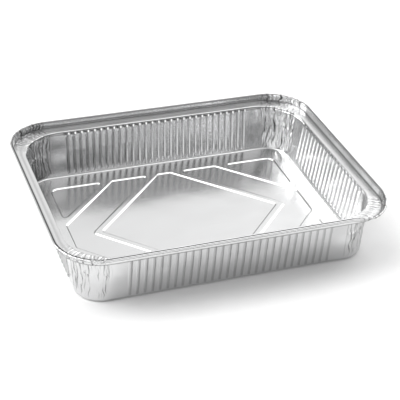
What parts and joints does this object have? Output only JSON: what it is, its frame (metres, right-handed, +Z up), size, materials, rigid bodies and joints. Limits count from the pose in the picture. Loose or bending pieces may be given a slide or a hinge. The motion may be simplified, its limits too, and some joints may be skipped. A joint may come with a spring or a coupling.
{
  "type": "aluminium foil tray",
  "caption": "Rectangular pressed-foil food tray with rounded corners, beaded sloping walls, a ribbed floor, and a flat ledge with an upright folded rim that takes a lid.",
  "frame": {"origin": "middle of the underside, where the tray stands", "axes": "+X along the long side, +Y along the short side, +Z up out of the open top"},
  "size_m": [0.32, 0.256, 0.0585],
  "materials": {
    "foil": "bright rolled foil, unpainted, lightly wrinkled at the corners"
  },
  "bodies": {
    "root": {"tray": "foil"}
  },
  "joints": []
}
